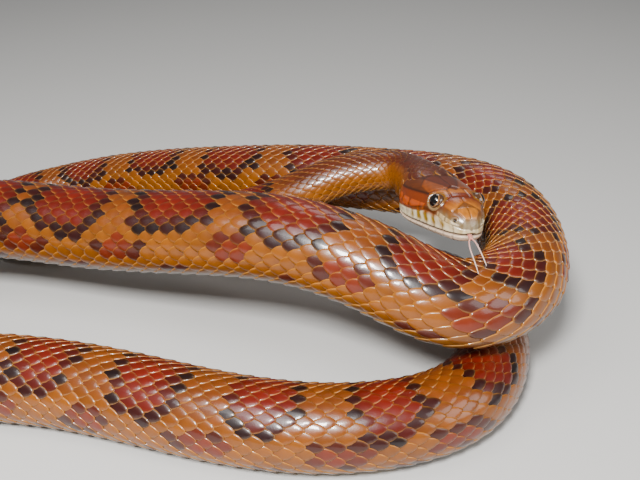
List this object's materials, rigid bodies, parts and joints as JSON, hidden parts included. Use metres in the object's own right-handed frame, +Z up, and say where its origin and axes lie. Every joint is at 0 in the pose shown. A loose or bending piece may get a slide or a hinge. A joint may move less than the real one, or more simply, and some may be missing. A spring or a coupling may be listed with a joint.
{
  "type": "corn snake figure",
  "caption": "Life-size corn snake lying in loose overlapping loops, head raised over a loop with the forked tongue out.",
  "frame": {"origin": "centre of the underside of the bounding box, on the floor", "axes": "+X to the side the picture's right shows, +Y away from the camera, +Z up; the snout points toward -Y"},
  "size_m": [0.2518, 0.1788, 0.0602],
  "materials": {
    "head": "glossy horn shields, orange brown",
    "eye": "clear glossy, dark pupil with a pale orange ring",
    "tongue": "moist, satin",
    "body": "glossy scales, amber with dark-edged red-brown saddles",
    "tail": "glossy scales, amber with red-brown bars"
  },
  "bodies": {
    "root": {"head": "head", "eye_left": "eye", "eye_right": "eye", "tongue": "tongue", "neck": "body", "torso_01": "body", "torso_02": "body", "torso_03": "body", "torso_04": "body", "torso_05": "body", "torso_06": "body", "torso_07": "body", "torso_08": "body", "torso_09": "body", "torso_10": "body", "torso_11": "body", "torso_12": "body", "tail_01": "tail", "tail_02": "tail", "tail_03": "tail"}
  },
  "joints": []
}
